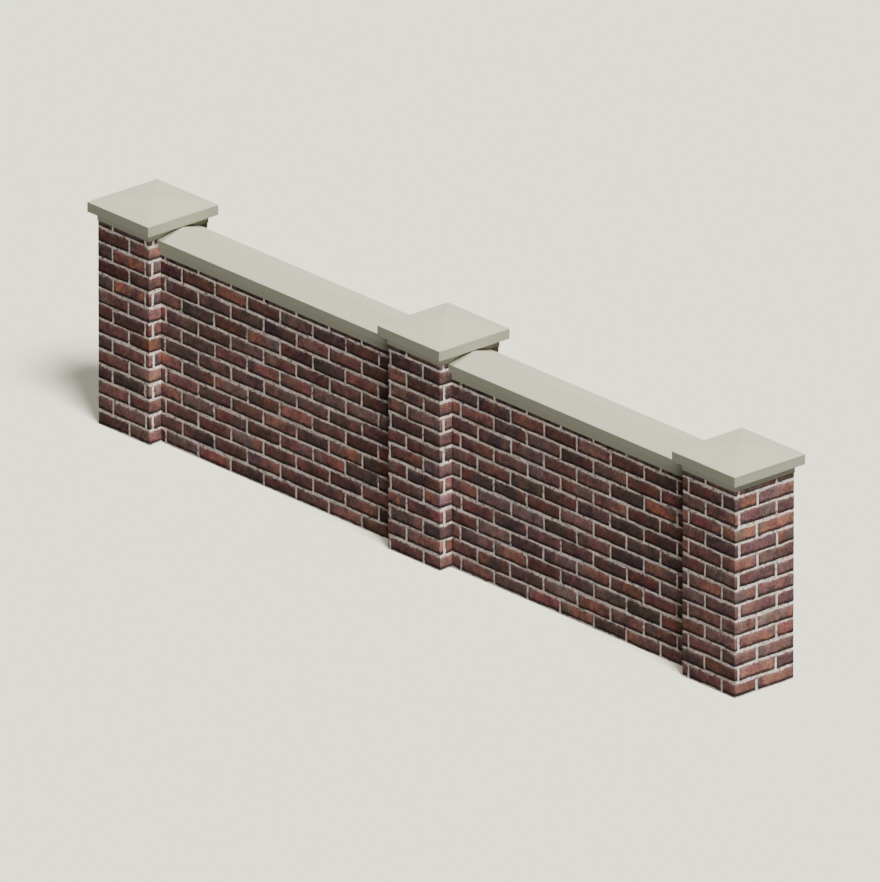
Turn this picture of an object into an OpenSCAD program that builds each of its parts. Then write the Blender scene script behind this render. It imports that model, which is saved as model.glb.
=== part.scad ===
// Brick garden wall: two panels between three piers, with cast-stone caps and copings.
// X runs along the wall, -Y is its front, and the origin is under the middle pier.

/* [Layout] */
// Distance between the centres of neighbouring piers
pier_spacing = 2000; // [1200:25:3000]

/* [Piers] */
// Width and depth of a square brick pier
pier_w = 360; // [330:5:480]
// Height of one course of bricks with its bed joint
course_h = 75; // [65:1:85]
// Whole courses of bricks in a pier
pier_courses = 13; // [8:1:24]
// Height of the split course under a pier's neck slab
pier_creasing_h = 25; // [15:1:40]
// Height of the neck slab that levels a pier for its cap
neck_h = 40; // [20:1:80]

/* [Pier caps] */
// How far a cap stands out past its pier on every side
cap_overhang = 32; // [20:1:60]
// Height of a cap's upright edge
cap_edge_h = 50; // [30:1:90]
// Rise of a cap's four slopes, from the upright edge to the point
cap_rise = 48; // [15:1:150]

/* [Panels] */
// Thickness of a brick panel
panel_t = 220; // [190:5:260]
// Height of the split course under a panel's bed slab
panel_creasing_h = 20; // [15:1:40]
// Height of the bed slab that levels a panel for its coping
bed_h = 40; // [20:1:80]

/* [Copings] */
// How far a coping stands out past its panel, front and back
coping_overhang = 20; // [16:1:30]
// Height of a coping's upright edge
coping_edge_h = 40; // [30:1:80]
// Rise of a coping's two slopes, from the upright edge to the ridge
coping_rise = 37; // [10:1:90]
// Gap between a coping's ridge and the underside of the pier cap over its end
ridge_gap = 3; // [1:1:40]

/* [Drip grooves] */
// Width of the half-round groove under each overhang
drip_w = 10; // [6:1:14]

/* [Hidden] */
$fn = 48;

brick_colour = "#5c3a30";
split_brick_colour = "#6a4033";
slab_colour = "#8f8e80";
stone_colour = "#c9c8bd";

// Places along the wall
left_pier_x = -pier_spacing;
middle_pier_x = 0;
right_pier_x = pier_spacing;
left_bay_x = (left_pier_x + middle_pier_x) / 2;
right_bay_x = (middle_pier_x + right_pier_x) / 2;
bay_l = pier_spacing - pier_w;

// Levels of a pier, from the ground up
pier_h = pier_courses * course_h;
neck_z = pier_h + pier_creasing_h;
cap_z = neck_z + neck_h;
cap_w = pier_w + 2 * cap_overhang;

// Levels of a bay, from the cap's underside down, so that the ridge always tucks in below it
coping_w = panel_t + 2 * coping_overhang;
coping_z = cap_z - ridge_gap - coping_rise - coping_edge_h;
bed_z = coping_z - bed_h;
panel_h = bed_z - panel_creasing_h;

// Square block on a pier's footprint
module pier_block(x, z, h) {
  translate([x - pier_w / 2, -pier_w / 2, z])
    cube([pier_w, pier_w, h]);
}

// Long block on a panel's footprint, from pier face to pier face
module bay_block(x, z, h) {
  translate([x - bay_l / 2, -panel_t / 2, z])
    cube([bay_l, panel_t, h]);
}

// Bar along X with upright edges and two slopes that meet over its middle
module saddle_bar(l, w, edge_h, rise) {
  section = [
    [-w / 2, 0],
    [w / 2, 0],
    [w / 2, edge_h],
    [0, edge_h + rise],
    [-w / 2, edge_h]
  ];
  rotate([90, 0, 90])
    linear_extrude(height = l, center = true)
      polygon(section);
}

// Rod along X that cuts a half-round drip groove into an underside
module drip_rod(l) {
  rotate([0, 90, 0])
    cylinder(d = drip_w, h = l, center = true);
}

// Square ring of drip groove under a cap, half way out along the overhang
module drip_ring() {
  ring_w = pier_w + cap_overhang;
  for (turn = [0:90:270])
    rotate([0, 0, turn])
      translate([0, ring_w / 2, 0]) {
        drip_rod(ring_w);
        translate([ring_w / 2, 0, 0])
          sphere(d = drip_w);
      }
}

module pier(x) {
  color(brick_colour)
    pier_block(x, 0, pier_h);
}

module pier_creasing(x) {
  color(split_brick_colour)
    pier_block(x, pier_h, pier_creasing_h);
}

module pier_neck(x) {
  color(slab_colour)
    pier_block(x, neck_z, neck_h);
}

// Two crossed saddle bars leave the four slopes of the cap
module pier_cap(x) {
  color(stone_colour)
    translate([x, 0, cap_z])
      difference() {
        intersection() {
          saddle_bar(cap_w, cap_w, cap_edge_h, cap_rise);
          rotate([0, 0, 90])
            saddle_bar(cap_w, cap_w, cap_edge_h, cap_rise);
        }
        drip_ring();
      }
}

module panel(x) {
  color(brick_colour)
    bay_block(x, 0, panel_h);
}

module panel_creasing(x) {
  color(split_brick_colour)
    bay_block(x, panel_h, panel_creasing_h);
}

module coping_bed(x) {
  color(slab_colour)
    bay_block(x, bed_z, bed_h);
}

module coping(x) {
  color(stone_colour)
    translate([x, 0, coping_z])
      difference() {
        saddle_bar(bay_l, coping_w, coping_edge_h, coping_rise);
        for (side = [-1, 1])
          translate([0, side * (panel_t + coping_overhang) / 2, 0])
            drip_rod(2 * bay_l);
      }
}

pier(left_pier_x);  // left_pier
pier(middle_pier_x);  // middle_pier
pier(right_pier_x);  // right_pier
pier_creasing(left_pier_x);  // left_pier_creasing
pier_creasing(middle_pier_x);  // middle_pier_creasing
pier_creasing(right_pier_x);  // right_pier_creasing
pier_neck(left_pier_x);  // left_pier_neck
pier_neck(middle_pier_x);  // middle_pier_neck
pier_neck(right_pier_x);  // right_pier_neck
pier_cap(left_pier_x);  // left_pier_cap
pier_cap(middle_pier_x);  // middle_pier_cap
pier_cap(right_pier_x);  // right_pier_cap
panel(left_bay_x);  // left_panel
panel(right_bay_x);  // right_panel
panel_creasing(left_bay_x);  // left_panel_creasing
panel_creasing(right_bay_x);  // right_panel_creasing
coping_bed(left_bay_x);  // left_coping_bed
coping_bed(right_bay_x);  // right_coping_bed
coping(left_bay_x);  // left_coping
coping(right_bay_x);  // right_coping
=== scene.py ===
import bpy
import math
import random
import numpy as np
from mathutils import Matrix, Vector


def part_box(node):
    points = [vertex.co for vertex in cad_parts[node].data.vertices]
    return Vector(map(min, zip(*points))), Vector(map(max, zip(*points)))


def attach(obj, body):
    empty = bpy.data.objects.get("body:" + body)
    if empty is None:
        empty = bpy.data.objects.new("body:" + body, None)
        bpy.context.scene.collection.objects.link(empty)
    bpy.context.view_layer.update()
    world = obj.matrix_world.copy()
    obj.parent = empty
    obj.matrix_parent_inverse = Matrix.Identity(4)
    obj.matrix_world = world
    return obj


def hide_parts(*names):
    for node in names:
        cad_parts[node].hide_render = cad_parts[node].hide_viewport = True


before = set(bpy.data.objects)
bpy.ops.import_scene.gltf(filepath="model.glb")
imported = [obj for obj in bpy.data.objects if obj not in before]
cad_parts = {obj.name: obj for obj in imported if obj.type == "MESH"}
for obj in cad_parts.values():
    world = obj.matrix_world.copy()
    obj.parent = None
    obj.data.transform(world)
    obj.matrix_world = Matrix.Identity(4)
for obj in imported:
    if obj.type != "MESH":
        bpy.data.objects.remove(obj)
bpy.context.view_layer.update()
print("frame loaded, nodes:", len(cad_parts))

sides = ("left", "middle", "right")    # the three piers
bays = ("left", "right")    # the two panels between them
sameLine = 1e-5    # metres: places closer than this are on one line
sameFace = 1e-4    # and closer than this on one face
sameWay = 0.999    # least dot product of two normals that look the same way


# selecting and shaping

def clearSelection():
    if bpy.context.object is not None and bpy.context.object.mode != "OBJECT":
        bpy.ops.object.mode_set(mode="OBJECT")
    bpy.ops.object.select_all(action="DESELECT")


def addBlock(low, high):    # in edit mode it joins the piece being modelled
    bpy.ops.mesh.primitive_cube_add(size=1, location=(low + high) / 2, scale=high - low)


def startBlock(name, low, high):
    clearSelection()
    addBlock(low, high)
    piece = bpy.context.object
    piece.name = name
    piece.data.name = name
    bpy.ops.object.transform_apply(location=True, rotation=True, scale=True)
    bpy.ops.object.mode_set(mode="EDIT")
    return piece


def vertexPlaces(mesh):
    places = np.empty(len(mesh.vertices) * 3)
    mesh.vertices.foreach_get("co", places)
    return places.reshape(-1, 3)


# the select mode is set before leaving edit mode, so that no face fills in around picked edges
def openMesh(piece, kind):
    bpy.ops.mesh.select_mode(type=kind)
    bpy.ops.object.mode_set(mode="OBJECT")
    return piece.data


def pickParts(mesh, parts, chosen):
    for kind in (mesh.vertices, mesh.edges, mesh.polygons):
        kind.foreach_set("select", np.zeros(len(kind), dtype=bool))
    parts.foreach_set("select", chosen)
    bpy.ops.object.mode_set(mode="EDIT")


def pickEdges(piece, test):
    mesh = openMesh(piece, "EDGE")
    places = vertexPlaces(mesh)
    ends = np.empty(len(mesh.edges) * 2, dtype=np.int64)
    mesh.edges.foreach_get("vertices", ends)
    ends = ends.reshape(-1, 2)
    already = np.empty(len(mesh.edges), dtype=bool)
    mesh.edges.foreach_get("select", already)
    pickParts(mesh, mesh.edges, test(places[ends[:, 0]], places[ends[:, 1]], already))


def pickVertices(piece, test):
    mesh = openMesh(piece, "VERT")
    pickParts(mesh, mesh.vertices, test(vertexPlaces(mesh)))


def pickFaces(piece, normal):    # the faces that look straight along a direction
    mesh = openMesh(piece, "FACE")
    pickParts(mesh, mesh.polygons, [face.normal.dot(normal) > sameWay for face in mesh.polygons])


def pickSharp(angle):
    bpy.ops.mesh.select_mode(type="EDGE")
    bpy.ops.mesh.select_all(action="DESELECT")
    bpy.ops.mesh.edges_select_sharp(sharpness=math.radians(angle))


# subdivide the edges along one axis that are within a range of lengths
def cutLong(piece, axis, shortest, longest, cuts):
    def test(first, second, already):
        span = np.abs(second - first)
        length = span[:, axis]
        across = span.sum(axis=1) - length
        return (across < sameLine) & (length > shortest) & (length <= longest)
    pickEdges(piece, test)
    bpy.ops.mesh.subdivide(number_cuts=cuts)


def leaveEdit():
    bpy.ops.mesh.select_all(action="SELECT")
    bpy.ops.mesh.normals_make_consistent(inside=False)
    bpy.ops.object.mode_set(mode="OBJECT")


def roundShading(piece):    # broad faces stay flat, and only the arrises turn
    bpy.ops.object.shade_smooth()
    bpy.ops.object.modifier_add(type="WEIGHTED_NORMAL")
    bpy.ops.object.modifier_apply(modifier=piece.modifiers[0].name)


wallPieces = []    # every finished piece, for the lamps


def standFor(piece, node):
    wallPieces.append(piece)
    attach(piece, "root")
    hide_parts(node)


# shader nodes

def newMaterial(name):
    material = bpy.data.materials.new(name)
    material.use_nodes = True
    tree = material.node_tree
    shader = tree.nodes["Principled BSDF"]
    return material, tree, shader


def feed(tree, socket, value):
    if isinstance(value, bpy.types.NodeSocket):
        tree.links.new(value, socket)
    else:
        socket.default_value = value


def sumNode(tree, operation, *values):
    node = tree.nodes.new("ShaderNodeMath")
    node.operation = operation
    for socket, value in zip(node.inputs, values):
        feed(tree, socket, value)
    return node.outputs[0]


def plus(tree, first, second):
    return sumNode(tree, "ADD", first, second)


def minus(tree, first, second):
    return sumNode(tree, "SUBTRACT", first, second)


def times(tree, first, second):
    return sumNode(tree, "MULTIPLY", first, second)


def weigh(tree, first, second, shares):
    return plus(tree, times(tree, first, shares[0]), times(tree, second, shares[1]))


def redraw(tree, draw, spread):    # another number from 0 to 1 out of a brick's own one
    return sumNode(tree, "FRACT", times(tree, draw, spread))


def mixColour(tree, share, first, second, way="MIX"):
    node = tree.nodes.new("ShaderNodeMix")
    node.data_type = "RGBA"
    node.blend_type = way
    feed(tree, node.inputs[0], share)
    feed(tree, node.inputs[6], first)
    feed(tree, node.inputs[7], second)
    return node.outputs[2]


def cover(tree, share, colour, coat):    # a plain colour over part of the surface
    return mixColour(tree, share, colour, (*coat, 1.0))


def tone(tree, colour, factor):
    return mixColour(tree, 1.0, colour, factor, "MULTIPLY")


def fade(tree, value, start, end, low=0.0, high=1.0):    # smooth step from low to high
    node = tree.nodes.new("ShaderNodeMapRange")
    node.interpolation_type = "SMOOTHSTEP"
    for socket, number in zip(node.inputs, (value, start, end, low, high)):
        feed(tree, socket, number)
    return node.outputs[0]


noiseMiddle = 0.5    # what a noise wavers about


def noise(tree, place, scale, detail=4.0, roughness=0.55, distortion=0.0):
    node = tree.nodes.new("ShaderNodeTexNoise")
    feed(tree, node.inputs["Vector"], place)
    feed(tree, node.inputs["Scale"], scale)
    node.inputs["Detail"].default_value = detail
    node.inputs["Roughness"].default_value = roughness
    node.inputs["Distortion"].default_value = distortion
    return node.outputs["Fac"]


def swing(tree, value, reach, middle=noiseMiddle):    # a noise about nought, times its reach
    return times(tree, minus(tree, value, middle), reach)


def ramp(tree, value, stops):
    node = tree.nodes.new("ShaderNodeValToRGB")
    marks = node.color_ramp.elements
    while len(marks) < len(stops):
        marks.new(0.5)
    for mark, (place, colour) in zip(marks, stops):
        mark.position = place
        mark.color = (*colour, 1.0)
    feed(tree, node.inputs[0], value)
    return node.outputs[0]


def objectPlace(tree):
    return tree.nodes.new("ShaderNodeTexCoord").outputs["Object"]


def attribute(tree, name):
    node = tree.nodes.new("ShaderNodeAttribute")
    node.attribute_name = name
    parts = tree.nodes.new("ShaderNodeSeparateXYZ")
    tree.links.new(node.outputs["Vector"], parts.inputs[0])
    return parts.outputs


def newGroup(name, inputs, outputs):
    group = bpy.data.node_groups.new(name, "ShaderNodeTree")
    for label, kind in inputs:
        group.interface.new_socket(label, in_out="INPUT", socket_type=kind)
    for label, kind in outputs:
        group.interface.new_socket(label, in_out="OUTPUT", socket_type=kind)
    given = group.nodes.new("NodeGroupInput").outputs
    result = group.nodes.new("NodeGroupOutput").inputs
    return group, given, result


def useGroup(tree, group, **values):
    node = tree.nodes.new("ShaderNodeGroup")
    node.node_tree = group
    for label, value in values.items():
        feed(tree, node.inputs[label], value)
    return node.outputs


# colour, roughness and relief into the shader, the same way for every finish
def finishShader(tree, shader, look, colour, grain, relief):
    tree.links.new(colour, shader.inputs["Base Color"])
    tree.links.new(fade(tree, grain["Tone"], 0.0, 1.0, *look["roughness"]), shader.inputs["Roughness"])
    shader.inputs["Specular IOR Level"].default_value = look["specular"]
    bump = tree.nodes.new("ShaderNodeBump")
    bump.inputs["Distance"].default_value = look["grainDepth"]
    tree.links.new(relief, bump.inputs["Height"])
    tree.links.new(bump.outputs["Normal"], shader.inputs["Normal"])


# grain of sand and pits, shared by brick, mortar and stone
grainLook = {
    "coarseness": 0.23,    # scale of the coarse grain, times that of the fine
    "shares": (0.45, 0.55),    # of fine and coarse grain
    "pitRange": (0.30, 0.42),    # the coarse grain sinks into pits below this
    "toneRange": (0.3, 0.7),
}


def makeGrain():
    look = grainLook
    group, given, result = newGroup(
        "sandGrain",
        [("Place", "NodeSocketVector"), ("Scale", "NodeSocketFloat"), ("Pits", "NodeSocketFloat")],
        [("Tone", "NodeSocketFloat"), ("Height", "NodeSocketFloat")])
    fine = noise(group, given["Place"], given["Scale"], detail=3.0, roughness=0.6)
    coarseScale = times(group, given["Scale"], look["coarseness"])
    coarse = noise(group, given["Place"], coarseScale, detail=5.0, roughness=0.6)
    pits = fade(group, coarse, *look["pitRange"])
    sunk = times(group, minus(group, pits, 1.0), given["Pits"])
    height = weigh(group, fine, coarse, look["shares"])
    group.links.new(plus(group, height, sunk), result["Height"])
    group.links.new(fade(group, height, *look["toneRange"]), result["Tone"])
    return group


# slow stains over a whole face, shared by all finishes
def makeStain():
    group, given, result = newGroup(
        "weatherStain",
        [("Place", "NodeSocketVector"), ("Scale", "NodeSocketFloat"), ("Reach", "NodeSocketFloat")],
        [("Mask", "NodeSocketFloat")])
    cloud = noise(group, given["Place"], given["Scale"], detail=6.0, roughness=0.62, distortion=0.4)
    upper = plus(group, noiseMiddle, given["Reach"])
    lower = minus(group, noiseMiddle, given["Reach"])
    group.links.new(fade(group, cloud, lower, upper), result["Mask"])
    return group


grainGroup = makeGrain()
stainGroup = makeStain()


# fired clay: each brick has its own tone and shade, flashed patches, painted shade at its ends and over its
# lower arris, and smears of mortar that also paint a highlight along its upper arris
brickLook = {
    "tones": (
        (0.00, (0.072, 0.045, 0.050)),
        (0.12, (0.106, 0.048, 0.052)),
        (0.26, (0.142, 0.064, 0.052)),
        (0.38, (0.172, 0.081, 0.061)),
        (0.48, (0.082, 0.062, 0.050)),
        (0.58, (0.122, 0.076, 0.068)),
        (0.70, (0.136, 0.045, 0.050)),
        (0.82, (0.190, 0.082, 0.052)),
        (0.92, (0.106, 0.066, 0.076)),
        (1.00, (0.152, 0.098, 0.082)),
    ),
    # a brick changes tone part of the way along
    "broadScale": 8.5,
    "bend": 0.5,    # how far the line of a change wavers, in brick lengths
    "changes": ((17.3, 5.7), (29.9, 9.1)),    # spread the places and the tones of the changes
    "changeBlur": 0.05,
    "changeShare": 0.9,    # how fully a brick takes on the other tone
    # part of some bricks was flashed in the kiln
    "flash": ((0.0, (0.270, 0.098, 0.050)), (0.5, (0.080, 0.050, 0.050)), (1.0, (0.215, 0.105, 0.078))),
    "flashGain": 0.22,    # how much further the flash runs on the bricks most open to it
    "flashRange": (0.58, 0.76),
    "flashShare": 0.7,
    "flashSpread": 7.0,
    "shades": (0.80, 1.62),    # darkest and palest brick of one tone
    "shadeSpread": 13.7,
    # mottling, tinges from olive to purple, and sand
    "mottleScale": 17.0,
    "mottle": ((0.32, (0.56, 0.59, 0.70)), (0.68, (1.49, 1.37, 1.21))),
    "tingeScale": 34.0,
    "tinges": ((0.36, (0.90, 1.07, 0.92)), (0.50, (1.0, 1.0, 1.0)), (0.64, (1.09, 0.92, 1.12))),
    "sand": ((0.0, (0.5, 0.5, 0.5)), (1.0, (1.4, 1.38, 1.35))),
    "sandShare": 0.35,
    # marks dragged across the face when it was cut
    "dragTurn": -56.0,    # the marks climb to the right
    "dragSize": (0.032, 0.012, 0.0065),
    "drag": ((0.32, (0.60, 0.60, 0.64)), (0.68, (1.42, 1.40, 1.34))),
    "dragRelief": 1.4,
    # painted shade: dark ends, the left end darker, and a dark band over the lower arris
    "wanderScale": 42.0,
    "wander": 0.020,
    "endShadeReach": (0.002, 0.019),    # how far the painted shade at the ends runs in
    "endShares": (0.60, 0.30),    # left and right end
    "endShadeTone": (0.034, 0.033, 0.024),
    "underShade": (0.014, 0.011, 0.010),
    "underShadeReach": (0.0106, 0.0212),
    "underShadeShare": 0.86,
    # ragged mortar over the upper arris and the ends, and a thin haze; along the upper arris the smear and
    # haze are also a painted highlight
    "smear": (0.66, 0.515, 0.44),
    "smearScale": 58.0,
    "smearReach": 0.026,    # times the noise over its level
    "topLevel": 0.40,
    "endLevel": 0.50,
    "smearEdge": (-0.0005, 0.0015),
    "topSmearAndHighlight": 0.85,
    "endSmear": 0.8,
    "hazeScale": 26.0,
    "hazeSpread": 0.16,
    "hazeReach": 0.024,    # down from the upper arris
    "hazeShares": (0.22, 0.033),    # at the upper arris and below
    "grainScale": 420.0,
    "grainDepth": 0.0012,
    "pits": 0.5,
    "roughness": (0.80, 0.95),
    "specular": 0.25,
}


def makeBrick(name, topSmearAndHighlightShare):
    look = brickLook
    material, tree, shader = newMaterial(name)
    place = objectPlace(tree)
    fromLeft, fromRight, first = attribute(tree, "alongBrick")
    fromBottom, fromTop, second = attribute(tree, "upBrick")    # first and second are the brick's own draws
    colour = ramp(tree, first, look["tones"])
    broad = noise(tree, place, look["broadScale"], detail=4.0, roughness=0.6, distortion=0.8)
    along = sumNode(tree, "DIVIDE", fromLeft, plus(tree, fromLeft, fromRight))
    bent = plus(tree, along, swing(tree, broad, look["bend"]))
    blur = look["changeBlur"]
    for placeSpread, toneSpread in look["changes"]:
        past = minus(tree, bent, redraw(tree, first, placeSpread))
        changed = fade(tree, past, -blur, blur, 0.0, look["changeShare"])
        other = sumNode(tree, "FRACT", plus(tree, times(tree, first, toneSpread), second))
        colour = mixColour(tree, changed, colour, ramp(tree, other, look["tones"]))
    openness = sumNode(tree, "POWER", second, 2.0)
    reach = plus(tree, broad, times(tree, openness, look["flashGain"]))
    flashed = times(tree, fade(tree, reach, *look["flashRange"]), look["flashShare"])
    flash = ramp(tree, redraw(tree, second, look["flashSpread"]), look["flash"])
    colour = mixColour(tree, flashed, colour, flash)
    shade = fade(tree, redraw(tree, second, look["shadeSpread"]), 0.0, 1.0, *look["shades"])
    colour = tone(tree, colour, shade)
    cloud = noise(tree, place, look["mottleScale"], detail=5.0, roughness=0.6, distortion=0.6)
    colour = tone(tree, colour, ramp(tree, cloud, look["mottle"]))
    tinge = noise(tree, place, look["tingeScale"], detail=4.0, roughness=0.6, distortion=0.5)
    colour = tone(tree, colour, ramp(tree, tinge, look["tinges"]))
    drag = tree.nodes.new("ShaderNodeMapping")
    drag.vector_type = "TEXTURE"
    drag.inputs["Rotation"].default_value = (0.0, math.radians(look["dragTurn"]), 0.0)
    drag.inputs["Scale"].default_value = look["dragSize"]
    tree.links.new(place, drag.inputs["Vector"])
    streak = noise(tree, drag.outputs[0], 1.0, detail=4.0, roughness=0.65)
    colour = tone(tree, colour, ramp(tree, streak, look["drag"]))
    grain = useGroup(tree, grainGroup, Place=place, Scale=look["grainScale"], Pits=look["pits"])
    sand = ramp(tree, grain["Tone"], look["sand"])
    colour = mixColour(tree, look["sandShare"], colour, sand, "MULTIPLY")
    wander = swing(tree, noise(tree, place, look["wanderScale"], detail=3.0), look["wander"])
    # painted shade: the ends are darkened, the left one more, then a dark band is laid over the lower arris
    for fromEnd, endShare in zip((fromLeft, fromRight), look["endShares"]):
        end = fade(tree, plus(tree, fromEnd, wander), *look["endShadeReach"], endShare, 0.0)
        colour = cover(tree, end, colour, look["endShadeTone"])
    low = fade(tree, plus(tree, fromBottom, wander), *look["underShadeReach"], look["underShadeShare"], 0.0)
    colour = cover(tree, low, colour, look["underShade"])
    # mortar smear over the arrises, and a haze; along the upper arris they also paint the highlight where
    # light catches it
    ragged = noise(tree, place, look["smearScale"], detail=4.0, roughness=0.65)
    overTop = swing(tree, ragged, look["smearReach"], look["topLevel"])
    overEnd = swing(tree, ragged, look["smearReach"], look["endLevel"])
    nearEnd = sumNode(tree, "MINIMUM", sumNode(tree, "MINIMUM", fromLeft, fromRight), fromBottom)
    topSmearAndHighlight = fade(tree, minus(tree, fromTop, overTop), *look["smearEdge"], topSmearAndHighlightShare, 0.0)
    endSmear = fade(tree, minus(tree, nearEnd, overEnd), *look["smearEdge"], look["endSmear"], 0.0)
    thin = useGroup(tree, stainGroup, Place=place, Scale=look["hazeScale"], Reach=look["hazeSpread"])
    hazeAndHighlight = times(tree, thin["Mask"], fade(tree, fromTop, 0.0, look["hazeReach"], *look["hazeShares"]))
    smearAndHighlight = sumNode(tree, "MAXIMUM", sumNode(tree, "MAXIMUM", topSmearAndHighlight, endSmear), hazeAndHighlight)
    colour = cover(tree, smearAndHighlight, colour, look["smear"])
    relief = plus(tree, grain["Height"], times(tree, streak, look["dragRelief"]))
    finishShader(tree, shader, look, colour, grain, relief)
    return material


mortarLook = {
    "cloudScale": 52.0,
    "cloudShares": (0.85, 0.15),    # of clouds and of grain
    "sand": ((0.38, (0.12, 0.089, 0.073)), (0.45, (0.72, 0.572, 0.484)), (0.52, (1.0, 0.852, 0.748))),
    "tintScale": 24.0,
    "tints": ((0.36, (0.92, 0.97, 1.04)), (0.50, (1.0, 1.0, 1.0)), (0.64, (1.02, 0.95, 0.88))),
    "dirt": (0.26, 0.25, 0.20),
    "dirtScale": 9.0,
    "dirtSpread": 0.10,
    "dirtShare": 0.32,
    "grainScale": 520.0,
    "grainDepth": 0.0010,
    "pits": 0.7,
    "roughness": (0.88, 0.98),
    "specular": 0.2,
}


def makeMortar(name):
    look = mortarLook
    material, tree, shader = newMaterial(name)
    place = objectPlace(tree)
    grain = useGroup(tree, grainGroup, Place=place, Scale=look["grainScale"], Pits=look["pits"])
    cloud = noise(tree, place, look["cloudScale"], detail=5.0, roughness=0.7)
    colour = ramp(tree, weigh(tree, cloud, grain["Tone"], look["cloudShares"]), look["sand"])
    tint = noise(tree, place, look["tintScale"], detail=3.0)
    colour = tone(tree, colour, ramp(tree, tint, look["tints"]))
    dirt = useGroup(tree, stainGroup, Place=place, Scale=look["dirtScale"], Reach=look["dirtSpread"])
    colour = cover(tree, times(tree, dirt["Mask"], look["dirtShare"]), colour, look["dirt"])
    finishShader(tree, shader, look, colour, grain, grain["Height"])
    return material


stoneLook = {
    "cloudScale": 11.0,
    "cloudShares": (0.6, 0.4),    # of clouds and of grain
    "cast": ((0.0, (0.345, 0.341, 0.243)), (1.0, (0.381, 0.377, 0.271))),
    "stain": (0.29, 0.286, 0.205),
    "stainScale": 2.4,
    "stainSpread": 0.12,
    "hole": (0.24, 0.235, 0.17),
    "holeScale": 160.0,
    "holeRange": (0.27, 0.30),
    "holeShare": 0.5,
    "holeDepth": 1.5,
    "grainScale": 900.0,
    "grainDepth": 0.0004,
    "pits": 0.6,
    "roughness": (0.78, 0.92),
    "specular": 0.2,
    "mixes": {    # share of stain, and how much paler the stone is painted; the neck and bed slab are lightened to lift the shade under the overhang above them
        "castStone": (0.07, 1.0),
        "castNeckPaledForShade": (0.112, 1.05),
        "castBedPaledForShade": (0.112, 1.11),
    },
}


def makeStone(name):
    look = stoneLook
    stainShare, paledForShade = look["mixes"][name]
    material, tree, shader = newMaterial(name)
    place = objectPlace(tree)
    grain = useGroup(tree, grainGroup, Place=place, Scale=look["grainScale"], Pits=look["pits"])
    cloud = noise(tree, place, look["cloudScale"], detail=6.0, roughness=0.6)
    cast = [(mark, [part * paledForShade for part in colour]) for mark, colour in look["cast"]]
    colour = ramp(tree, weigh(tree, cloud, grain["Tone"], look["cloudShares"]), cast)
    stain = useGroup(tree, stainGroup, Place=place, Scale=look["stainScale"], Reach=look["stainSpread"])
    colour = cover(tree, times(tree, stain["Mask"], stainShare), colour, look["stain"])
    specks = noise(tree, place, look["holeScale"], detail=1.0)
    holes = fade(tree, specks, *look["holeRange"], look["holeShare"], 0.0)
    colour = cover(tree, holes, colour, look["hole"])
    relief = minus(tree, grain["Height"], times(tree, holes, look["holeDepth"]))
    finishShader(tree, shader, look, colour, grain, relief)
    return material


brickFinish = makeBrick("firedBrick", brickLook["topSmearAndHighlight"])
splitFinish = makeBrick("splitBrick", 0.0)    # no smear and no painted highlight over its top, which is under a slab
mortarFinish = makeMortar("limeMortar")
capFinish = makeStone("castStone")
# the neck and bed slab are paler copies of the cast stone, painted light against the shade under the cap and
# coping overhangs
paledNeckFinish = makeStone("castNeckPaledForShade")
paledBedFinish = makeStone("castBedPaledForShade")
print("finishes made:", len(bpy.data.materials))


# brickwork
bond = {
    "course": 0.075,
    "brickHeight": 0.0688,
    "groundBed": 0.004,    # mortar under the lowest course
    "pitch": 0.2256,
    "joint": 0.0088,
    "faceInset": 0.0020,    # room for uneven faces inside the drawn face
    "brickDepth": 0.045,
    "cuts": ((0.150, 0.300, 4), (0.070, 0.150, 2)),    # shortest and longest edge, and the cuts in it
    "sharp": 30,    # angle in degrees from which an edge is worn
    "arris": 0.0032,
    "arrisSteps": 1,
    "unevenness": 0.0014,
    "jointPlay": 0.0035,    # how far a vertical joint strays from its place
    "bedPlay": (0.0018, 0.0012),    # how far a brick may fall short of its full height, below and above
    "bedShift": 0.0030,    # how far a brick may sit above or below its course
    "sways": ((0.11, 0.006), (0.032, 0.007)),    # length and height of the waves in the beds and the arrises
    "corner": 0.006,    # the lower corners are worn round
    "cornerSteps": 2,
    "cornerBand": 0.013,    # where in a course the lower corners are
    "mortarInset": 0.0040,
    "mortarUnevenness": 0.0007,
    "mortarStep": 0.012,
    "mostCuts": 100,    # in one pass of subdivide
    "tuck": 0.004,    # how far a panel's courses run into the pier
    "wallJoint": -1.789,    # one vertical joint in the panels' even courses
    "pierFront": (0.050, 0.1628),    # first joint from a face's left corner, even and odd courses
    "pierSide": (0.135, 0.027),
    "pierShift": {"left": -0.059, "middle": -0.033, "right": -0.0085},    # of the joints on fronts and backs
    "leastPiece": 0.012,    # no joint comes closer to a corner or an end
    "margin": 0.003,    # more than the unevenness moves a point
}


layingDraw = random.Random(5)


def stray(joint):
    return joint + layingDraw.uniform(-bond["jointPlay"], bond["jointPlay"])


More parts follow.
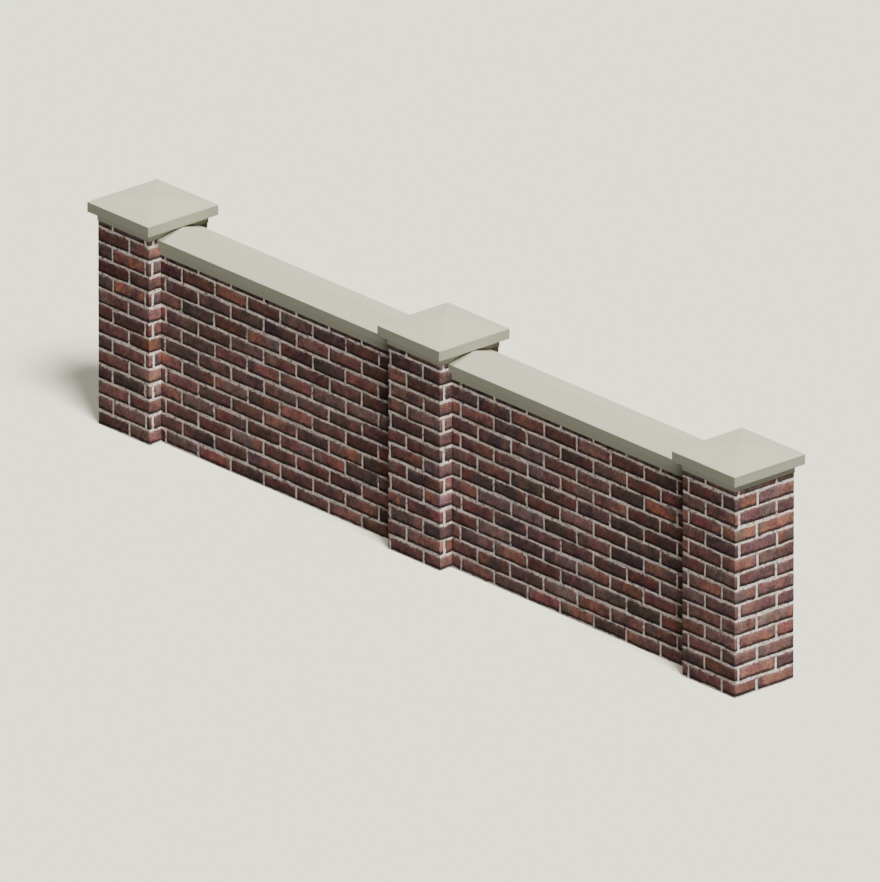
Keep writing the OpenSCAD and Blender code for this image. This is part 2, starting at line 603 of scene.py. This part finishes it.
def panelCourse(low, high, index, bottom, top):
    half = bond["joint"] / 2
    first = bond["wallJoint"] + (index % 2) * bond["pitch"] / 2
    start = low.x - bond["tuck"]
    stop = high.x + bond["tuck"]
    count = math.ceil((start + bond["leastPiece"] - first) / bond["pitch"])
    joints = []
    while first + count * bond["pitch"] < stop - bond["leastPiece"]:
        joints.append(stray(first + count * bond["pitch"]))
        count += 1
    lefts = [start] + [joint + half for joint in joints]
    rights = [joint - half for joint in joints] + [stop]
    near = low.y + bond["faceInset"]
    far = high.y - bond["faceInset"]
    bricks = []
    for left, right in zip(lefts, rights):
        if right - left < 2 * bond["joint"]:
            continue
        for front, back in ((near, near + bond["brickDepth"]), (far - bond["brickDepth"], far)):
            bricks.append({
                "low": Vector((left, front, bottom)),
                "high": Vector((right, back, top)),
                "anchor": Vector((left, front, bottom)),
                "along": Vector((1.0, 0.0, 0.0)),
                "length": right - left,
            })
    return bricks


def faceJoints(first, width):    # joints of one course on one face of a pier
    joints = []
    place = first
    while place < width - bond["leastPiece"]:
        if place > bond["leastPiece"]:
            joints.append(stray(place))
        place += bond["pitch"]
    return joints


def pierCourse(low, high, index, bottom, top, shift):
    half = bond["joint"] / 2
    inset = bond["faceInset"]
    width = high.x - low.x
    reach = width / 2
    middle = Vector(((low.x + high.x) / 2, (low.y + high.y) / 2, 0.0))
    frontFirst = bond["pierFront"][index % 2] + shift
    sideFirst = bond["pierSide"][index % 2]
    jointRows = [faceJoints(first, width) for first in (frontFirst, sideFirst) * 2]
    directions = [Vector((1, 0, 0)), Vector((0, 1, 0)), Vector((-1, 0, 0)), Vector((0, -1, 0))]
    bricks = []

    def addBrick(first, second, along, length):    # from the corner where it starts to the one across
        corners = (middle + first, middle + second)
        bricks.append({
            "low": Vector((min(c.x for c in corners), min(c.y for c in corners), bottom)),
            "high": Vector((max(c.x for c in corners), max(c.y for c in corners), top)),
            "anchor": middle + first + Vector((0, 0, bottom)),
            "along": along,
            "length": length,
        })

    for turn in range(4):
        along = directions[turn]
        inward = directions[(turn + 1) % 4]    # the next face runs this way, into the pier
        joints = jointRows[turn]
        nextJoints = jointRows[(turn + 1) % 4]
        face = inset - reach
        for left, right in zip(joints, joints[1:]):
            start = left + half - reach
            stop = right - half - reach
            across = along * stop + inward * (face + bond["brickDepth"])
            addBrick(along * start + inward * face, across, along.copy(), stop - start)
        start = joints[-1] + half - reach    # the last brick turns the corner
        stop = nextJoints[0] - half - reach
        edge = reach - inset
        across = along * edge + inward * stop
        addBrick(along * start - inward * edge, across, along + inward, (edge - start) + (stop + edge))
    return bricks


def courseLevels(count):
    for index in range(count):
        bottom = index * bond["course"]
        yield index, max(bottom, bond["groundBed"]), bottom + bond["brickHeight"]


def swayBeds(piece, length, rise):    # courses are never dead level, and arrises never quite straight
    swell = bpy.data.textures.new(piece.name + "Swell", "CLOUDS")
    swell.noise_scale = length
    swell.noise_depth = 2
    bpy.ops.object.modifier_add(type="DISPLACE")
    sway = piece.modifiers[0]
    sway.texture = swell
    sway.texture_coords = "LOCAL"
    sway.direction = "Z"
    sway.mid_level = noiseMiddle
    sway.strength = rise
    bpy.ops.object.modifier_apply(modifier=sway.name)


def shiftBricks(bricks, toTop):    # no two bricks lie at quite the same height
    below, above = bond["bedPlay"]
    for brick in bricks:
        shift = 0.0 if toTop else layingDraw.uniform(-bond["bedShift"], bond["bedShift"])
        brick["low"].z = max(brick["low"].z + shift + layingDraw.uniform(0, below), bond["groundBed"])
        if not toTop:
            brick["high"].z += shift - layingDraw.uniform(0, above)
        brick["anchor"].z = brick["low"].z


def wearEdges(piece, test, width, steps):
    pickSharp(bond["sharp"])
    pickEdges(piece, test)
    bpy.ops.mesh.bevel(offset=width, segments=steps, profile=0.5, affect="EDGES")


def layBricks(name, bricks, faceTest, seed, finish, toTop):
    shiftBricks(bricks, toTop)
    piece = startBlock(name, bricks[0]["low"], bricks[0]["high"])
    for brick in bricks[1:]:
        addBlock(brick["low"], brick["high"])
    for axis in (0, 1):
        for shortest, longest, cuts in bond["cuts"]:
            cutLong(piece, axis, shortest, longest, cuts)
    ceiling = max(brick["high"].z for brick in bricks) - sameFace if toTop else math.inf

    def wornCorner(first, second, already):    # edges that run into the wall from a lower corner
        level = np.abs(first[:, 2] - second[:, 2]) < sameLine
        inward = faceTest(first) ^ faceTest(second)
        inCourse = np.mod(first[:, 2] + bond["bedShift"], bond["course"])
        return already & level & inward & (inCourse < bond["cornerBand"])

    def wornArris(first, second, already):    # edges of the outer face, but not those under a slab
        outer = faceTest(first) & faceTest(second)
        return already & outer & (np.minimum(first[:, 2], second[:, 2]) < ceiling)

    wearEdges(piece, wornCorner, bond["corner"], bond["cornerSteps"])
    wearEdges(piece, wornArris, bond["arris"], bond["arrisSteps"])
    bpy.ops.mesh.select_all(action="SELECT")
    bpy.ops.transform.vertex_random(offset=bond["unevenness"], seed=seed)
    leaveEdit()
    noteBricks(piece, bricks, seed)
    if not toTop:
        for length, rise in bond["sways"]:
            swayBeds(piece, length, rise)
    roundShading(piece)
    piece.data.materials.append(finish)
    return piece


def noteBricks(piece, bricks, seed):    # where each point lies on its own brick, and the brick's two draws
    draw = random.Random(seed)
    places = vertexPlaces(piece.data)
    along = np.zeros_like(places)
    upward = np.zeros_like(places)
    for brick in bricks:
        low = np.array(brick["low"]) - bond["margin"]
        high = np.array(brick["high"]) + bond["margin"]
        inside = np.all((places > low) & (places < high), axis=1)
        offset = places[inside] - np.array(brick["anchor"])
        travel = offset @ np.array(brick["along"])
        along[inside, 0] = travel
        along[inside, 1] = brick["length"] - travel
        along[inside, 2] = draw.random()
        upward[inside, 0] = offset[:, 2]
        upward[inside, 1] = brick["high"].z - brick["low"].z - offset[:, 2]
        upward[inside, 2] = draw.random()
    for label, values in (("alongBrick", along), ("upBrick", upward)):
        layer = piece.data.attributes.new(label, "FLOAT_VECTOR", "POINT")
        layer.data.foreach_set("vector", values.astype(np.float32).ravel())


def cutAcross(piece, axis, length, cuts):    # edges of about one length
    cutLong(piece, axis, length * 0.9, length * 1.1, cuts)


def layMortar(name, low, high, seed):
    piece = startBlock(name, low, high)
    for axis, length in enumerate(high - low):
        cuts = round(length / bond["mortarStep"]) - 1
        if cuts < 1:
            continue
        if cuts < bond["mostCuts"]:
            cutAcross(piece, axis, length, cuts)
        else:    # in two passes
            cutAcross(piece, axis, length, 1)
            cutAcross(piece, axis, length / 2, round(cuts / 2))
    bpy.ops.mesh.select_all(action="SELECT")
    bpy.ops.transform.vertex_random(offset=bond["mortarUnevenness"], seed=seed)
    pickVertices(piece, lambda places: places[:, 2] < low.z + bond["margin"])
    bpy.ops.transform.resize(value=(1, 1, 0), center_override=(0, 0, low.z))    # flat where it stands
    pickVertices(piece, lambda places: places[:, 2] > high.z - bond["margin"])
    bpy.ops.transform.resize(value=(1, 1, 0), center_override=(0, 0, high.z))
    leaveEdit()
    piece.data.materials.append(mortarFinish)
    return piece


def faceTester(low, high, allRound):    # true for points on the outer faces of a pier or panel
    inset = bond["faceInset"]

    def test(places):
        result = np.zeros(len(places), dtype=bool)
        for axis in (0, 1) if allRound else (1,):
            result |= np.abs(places[:, axis] - low[axis] - inset) < sameFace
            result |= np.abs(places[:, axis] - high[axis] + inset) < sameFace
        return result
    return test


def raiseBrickwork(node, courses, layCourse, allRound, seed, finish, toTop):
    low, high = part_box(node)
    bricks = []
    for index, bottom, top in courses(low, high):
        bricks += layCourse(low, high, index, bottom, top)
    laid = layBricks(node + "_bricks", bricks, faceTester(low, high, allRound), seed, finish, toTop)
    standFor(laid, node)
    sunk = bond["mortarInset"]
    ends = sunk if allRound else -bond["tuck"]
    inner = Vector((low.x + ends, low.y + sunk, low.z))
    outer = Vector((high.x - ends, high.y - sunk, high.z))
    bedding = layMortar(node + "_mortar", inner, outer, seed + 1)
    standFor(bedding, node)
    print(node, "bricks:", len(bricks), "faces:", len(laid.data.polygons), len(bedding.data.polygons))


def fullCourses(low, high):
    return courseLevels(round((high.z - low.z) / bond["course"]))


def splitCourse(low, high):
    index = round(low.z / bond["course"])
    return [(index, low.z, high.z)]


def raiseUnit(node, layCourse, allRound, seed):    # whole courses, and the split course on top of them
    raiseBrickwork(node, fullCourses, layCourse, allRound, seed, brickFinish, False)
    raiseBrickwork(node + "_creasing", splitCourse, layCourse, allRound, seed + 2,
                   splitFinish, True)


seed = 11
for name in sides:
    def pierRow(low, high, index, bottom, top):
        return pierCourse(low, high, index, bottom, top, bond["pierShift"][name])

    raiseUnit(name + "_pier", pierRow, True, seed)
    seed += 10
for name in bays:
    raiseUnit(name + "_panel", panelCourse, False, seed)
    seed += 10
print("brickwork laid")


# cast stone
castEdge = {
    "arris": 0.0020,
    "arrisSteps": 2,
    "sharp": 12,    # angle in degrees from which an edge is taken off
}


def softenArris():
    pickSharp(castEdge["sharp"])
    bpy.ops.mesh.bevel(offset=castEdge["arris"], segments=castEdge["arrisSteps"], profile=0.5, affect="EDGES")


def castSlab(node, finish):
    low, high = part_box(node)
    piece = startBlock(node + "_slab", low, high)
    softenArris()
    leaveEdit()
    piece.data.materials.append(finish)
    standFor(piece, node)


drip = {
    "width": 0.010,
    "capSetIn": 0.011,    # from a cap's edge to its drip groove
    "copingSetIn": 0.005,
    "turns": (45, 90, 135),    # steps round the half circle
}


def dripPoint(turn):    # across and up, along the groove's half circle
    radius = drip["width"] / 2
    angle = math.radians(turn)
    return radius * (1 - math.cos(angle)), radius * math.sin(angle)


def shoulderOf(node):    # height where the upright front edge ends and the slope begins
    places = vertexPlaces(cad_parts[node].data)
    return places[places[:, 1] < places[:, 1].min() + sameFace][:, 2].max()


def castCap(node):
    low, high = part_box(node)
    middle = (low + high) / 2
    shoulder = shoulderOf(node)
    piece = startBlock(node + "_stone", low, Vector((high.x, high.y, shoulder)))
    pickFaces(piece, Vector((0, 0, 1)))
    bpy.ops.mesh.poke()

    def point(places):
        return np.all(np.abs(places[:, :2] - np.array(middle)[:2]) < sameFace, axis=1)

    pickVertices(piece, point)
    bpy.ops.transform.translate(value=(0, 0, high.z - shoulder))
    softenArris()
    # half-round drip groove, inset ring by ring into the underside
    pickFaces(piece, Vector((0, 0, -1)))
    bpy.ops.mesh.inset(thickness=drip["capSetIn"] - castEdge["arris"], depth=0)
    across, rise = dripPoint(0)
    for turn in drip["turns"] + (180,):
        nextAcross, nextRise = dripPoint(turn)
        bpy.ops.mesh.inset(thickness=nextAcross - across, depth=rise - nextRise)
        across, rise = nextAcross, nextRise
    leaveEdit()
    piece.data.materials.append(capFinish)
    standFor(piece, node)


def castCoping(node):
    low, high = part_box(node)
    middle = (low + high) / 2
    shoulder = shoulderOf(node)
    piece = startBlock(node + "_stone", low, Vector((high.x, high.y, shoulder)))

    def splitAlong(place):    # a cut along the whole coping
        bpy.ops.mesh.select_all(action="SELECT")
        bpy.ops.mesh.bisect(plane_co=(middle.x, place, middle.z), plane_no=(0, 1, 0))

    def lift(place, top, rise):    # the points of one cut, on the top or on the underside
        def test(places):
            upper = places[:, 2] > (low.z + shoulder) / 2
            return (np.abs(places[:, 1] - place) < sameLine) & (upper == top)
        pickVertices(piece, test)
        bpy.ops.transform.translate(value=(0, 0, rise))

    splitAlong(middle.y)
    lift(middle.y, True, high.z - shoulder)
    softenArris()
    # half-round drip grooves, cut and lifted line by line
    for groove in (low.y + drip["copingSetIn"], high.y - drip["copingSetIn"] - drip["width"]):
        for turn in (0,) + drip["turns"] + (180,):
            splitAlong(groove + dripPoint(turn)[0])
        for turn in drip["turns"]:
            across, rise = dripPoint(turn)
            lift(groove + across, False, rise)
    leaveEdit()
    piece.data.materials.append(capFinish)
    standFor(piece, node)


for name in sides:
    castSlab(name + "_pier_neck", paledNeckFinish)
    castCap(name + "_pier_cap")
for name in bays:
    castSlab(name + "_coping_bed", paledBedFinish)
    castCoping(name + "_coping")
print("cast stone set")


# stage, light and camera
stage = {
    "floorSize": 80.0,
    "floorColour": (0.69, 0.673, 0.538),
    "floorTint": (1.0, 0.975, 0.78),
    "floorGlow": 0.27,    # keeps the shadow on the floor as pale as the photograph shows it
    "drop": 0.0005,    # the floor lies this far under the wall
    "skyAbove": 0.10,
    "skyBelow": 0.10,
    "skyBlend": 0.2,    # how far up and down the one turns into the other
    "backdrop": (2.17, 2.116, 1.69),
}

clearSelection()
bpy.ops.mesh.primitive_plane_add(size=stage["floorSize"], location=(0, 0, -stage["drop"]))
floor = bpy.context.object
floor.name = "floor"
floorFinish, floorTree, floorShader = newMaterial("studioFloor")
floorShader.inputs["Base Color"].default_value = (*stage["floorColour"], 1.0)
floorShader.inputs["Roughness"].default_value = 1.0
floorShader.inputs["Specular IOR Level"].default_value = 0.0
floorShader.inputs["Emission Color"].default_value = (*stage["floorTint"], 1.0)
floorShader.inputs["Emission Strength"].default_value = stage["floorGlow"]
floor.data.materials.append(floorFinish)
floor.visible_diffuse = False    # the photograph shows no light thrown back by the floor
floor.visible_glossy = False
floor.visible_shadow = False


# direction from the wall; turn is in degrees from its right end towards its front
def directionTo(turn, height):
    turn = math.radians(turn)
    height = math.radians(height)
    return Vector((math.cos(height) * math.cos(turn), -math.cos(height) * math.sin(turn), math.sin(height)))


# soft lamps: what they light, what shades it, height and turn in degrees, strength, and spread in degrees
lamps = {
    "pierKey": ("piers", "piers", 58.0, 0.0, 5.55, 12.0),
    "bayKey": ("bays", "wall", 58.0, 0.0, 5.55, 12.0),
    "top": ("wall", "wall", 90.0, 0.0, 4.77, 12.0),
    "back": ("wall", "wall", 0.0, -135.0, 1.75, 40.0),
    "pierFill": ("piers", "wall", 4.0, 48.0, 1.44, 30.0),
    "bayFill": ("bays", "wall", -5.0, 24.0, 2.74, 38.0),
    "floor": ("floor", "wall", 56.0, 17.0, 10.0, 18.0),
}
lampDistance = 10.0    # only where they are drawn, because a sun shines from anywhere
lit = {name: bpy.data.collections.new(name) for name in ("wall", "piers", "bays", "floor")}
for piece in wallPieces:
    lit["wall"].objects.link(piece)
    lit["piers" if "pier" in piece.name else "bays"].objects.link(piece)
lit["floor"].objects.link(floor)


def hangLamp(name, lights, shadows, height, turn, strength, spread):
    toLamp = directionTo(turn, height)
    aimed = toLamp.to_track_quat("Z", "Y").to_euler()
    bpy.ops.object.light_add(type="SUN", location=toLamp * lampDistance, rotation=aimed)
    sun = bpy.context.object
    sun.name = name + "Lamp"
    sun.data.energy = strength
    sun.data.angle = math.radians(spread)
    sun.light_linking.receiver_collection = lit[lights]
    sun.light_linking.blocker_collection = lit[shadows]


for name, lamp in lamps.items():
    hangLamp(name, *lamp)


def makeSky():
    world = bpy.data.worlds.new("studio")
    bpy.context.scene.world = world
    world.use_nodes = True
    tree = world.node_tree
    tree.nodes.clear()
    parts = tree.nodes.new("ShaderNodeSeparateXYZ")
    tree.links.new(tree.nodes.new("ShaderNodeTexCoord").outputs["Generated"], parts.inputs[0])
    blend = stage["skyBlend"]
    level = fade(tree, parts.outputs["Z"], -blend, blend, stage["skyBelow"], stage["skyAbove"])
    glow = tree.nodes.new("ShaderNodeBackground")
    glow.inputs["Color"].default_value = (1.0, 1.0, 1.0, 1.0)
    tree.links.new(level, glow.inputs["Strength"])
    backdrop = tree.nodes.new("ShaderNodeBackground")
    backdrop.inputs["Color"].default_value = (*stage["backdrop"], 1.0)
    seen = tree.nodes.new("ShaderNodeMixShader")
    tree.links.new(tree.nodes.new("ShaderNodeLightPath").outputs["Is Camera Ray"], seen.inputs[0])
    tree.links.new(glow.outputs[0], seen.inputs[1])
    tree.links.new(backdrop.outputs[0], seen.inputs[2])
    tree.links.new(seen.outputs[0], tree.nodes.new("ShaderNodeOutputWorld").inputs["Surface"])


makeSky()

view = {
    "turn": 41.38,    # degrees from the wall's right end towards its front
    "height": 22.19,
    "lens": 1650.0,    # long, because the photograph has no perspective
    "sensor": 36.0,
    "distance": 182.7,
    "aim": (-0.0098, -0.0120, 0.5337),
    "nearest": 1.0,
    "farthest": 400.0,
}
toCamera = directionTo(view["turn"], view["height"])
bpy.ops.object.camera_add(location=Vector(view["aim"]) + toCamera * view["distance"],
                          rotation=toCamera.to_track_quat("Z", "Y").to_euler())
camera = bpy.context.object
camera.data.lens = view["lens"]
camera.data.sensor_width = view["sensor"]
camera.data.clip_start = view["nearest"]
camera.data.clip_end = view["farthest"]
bpy.context.scene.camera = camera
print("stage, light and camera set")
